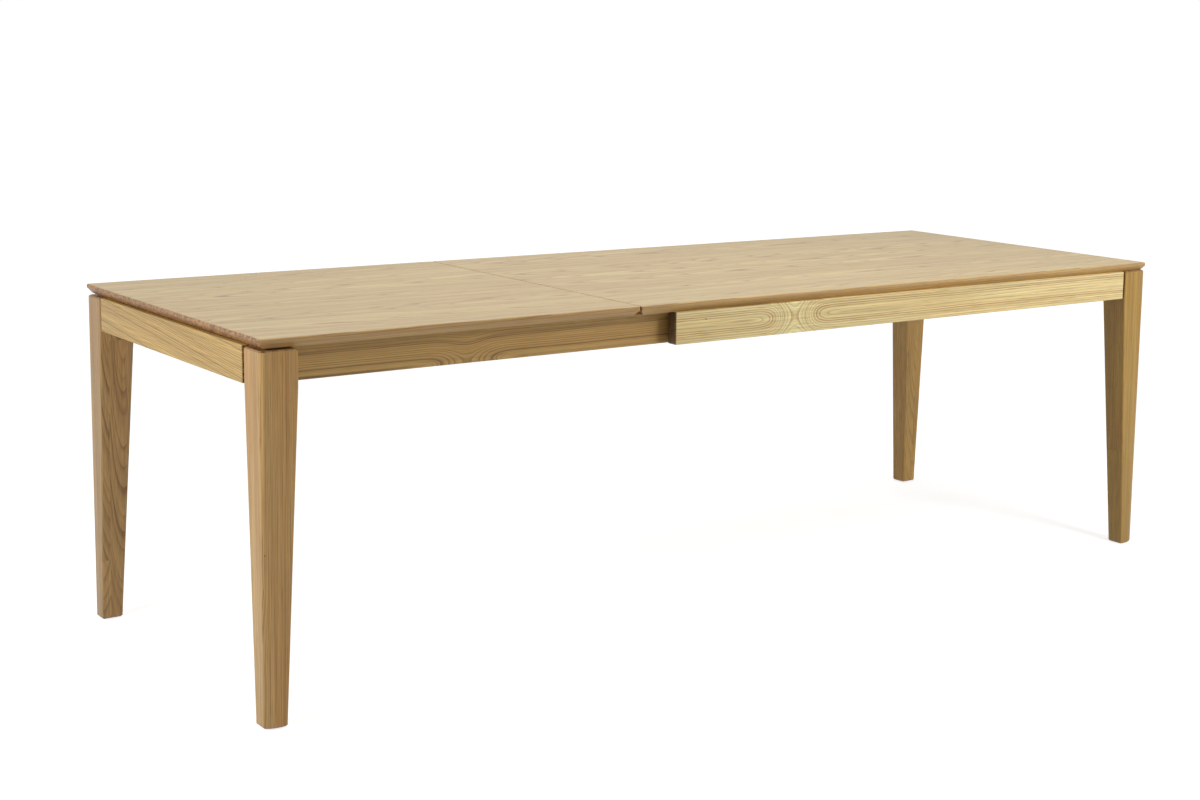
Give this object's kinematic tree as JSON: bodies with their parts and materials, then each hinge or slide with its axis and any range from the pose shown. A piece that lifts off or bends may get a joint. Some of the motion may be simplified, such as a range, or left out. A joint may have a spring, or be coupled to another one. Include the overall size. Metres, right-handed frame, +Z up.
{
  "type": "draw leaf table",
  "caption": "Rectangular oak dining table; an end frame with two legs draws out of the side rails and a leaf folded along its middle lies level with the main top.",
  "frame": {"origin": "on the floor, under the middle of the table as it stands drawn out", "axes": "+X along the table towards the fixed end, +Y towards the back, +Z up"},
  "size_m": [2.45, 0.9, 0.75],
  "materials": {
    "oak_top": "oiled, sanded fine",
    "oak_frame": "oiled, sanded fine",
    "beech": "planed, unfinished",
    "aluminium": "extruded, anodised",
    "zinc_steel": "zinc plated",
    "brass": "turned",
    "nylon": "moulded",
    "felt": "pressed felt"
  },
  "bodies": {
    "fixed_frame": {"batten_screws": "zinc_steel", "main_corner_block_back": "beech", "main_corner_block_front": "beech", "main_end_rail": "oak_frame", "main_foot_glides": "nylon", "main_leg_back": "oak_frame", "main_leg_bolts": "zinc_steel", "main_leg_front": "oak_frame", "main_leg_nuts": "zinc_steel", "main_top": "oak_top", "outer_rail_back": "oak_frame", "outer_rail_front": "oak_frame", "runner_back": "aluminium", "runner_front": "aluminium", "runner_screws": "zinc_steel", "runner_stops": "nylon", "seam_plate_screws": "zinc_steel", "seam_plates": "zinc_steel", "top_batten_far": "beech", "top_batten_near": "beech", "top_screws": "zinc_steel"},
    "drawn_frame": {"bearer_felts": "felt", "drawn_corner_block_back": "beech", "drawn_corner_block_front": "beech", "drawn_end_rail": "oak_frame", "drawn_foot_glides": "nylon", "drawn_leg_back": "oak_frame", "drawn_leg_bolts": "zinc_steel", "drawn_leg_front": "oak_frame", "drawn_leg_nuts": "zinc_steel", "end_rail_felt": "felt", "glide_pads": "nylon", "inner_rail_back": "oak_frame", "inner_rail_front": "oak_frame", "rail_felt_back": "felt", "rail_felt_front": "felt", "slide_bar_back": "beech", "slide_bar_front": "beech", "slide_bar_screws": "zinc_steel", "store_bearer_end": "beech", "store_bearer_middle": "beech", "tie_rail": "beech"},
    "leaf_back": {"leaf_half_back": "oak_top", "leaf_hinge_cups_back": "brass", "leaf_hinge_links": "zinc_steel"},
    "leaf_front": {"leaf_half_front": "oak_top", "leaf_hinge_cups_front": "brass"}
  },
  "joints": [
    {"name": "frame_slide", "type": "slide", "parent": "fixed_frame", "child": "drawn_frame", "axis": [1, 0, 0], "range_m": [0, 0.85]},
    {"name": "leaf_lift", "type": "slide", "parent": "fixed_frame", "child": "leaf_back", "axis": [0, 0, 1], "range_m": [0, 0.15]},
    {"name": "leaf_fold", "type": "hinge", "parent": "leaf_back", "child": "leaf_front", "pos_m": [-0.8, 0, 0.7503], "axis": [-1, 0, 0], "range_deg": [0, 180]}
  ]
}
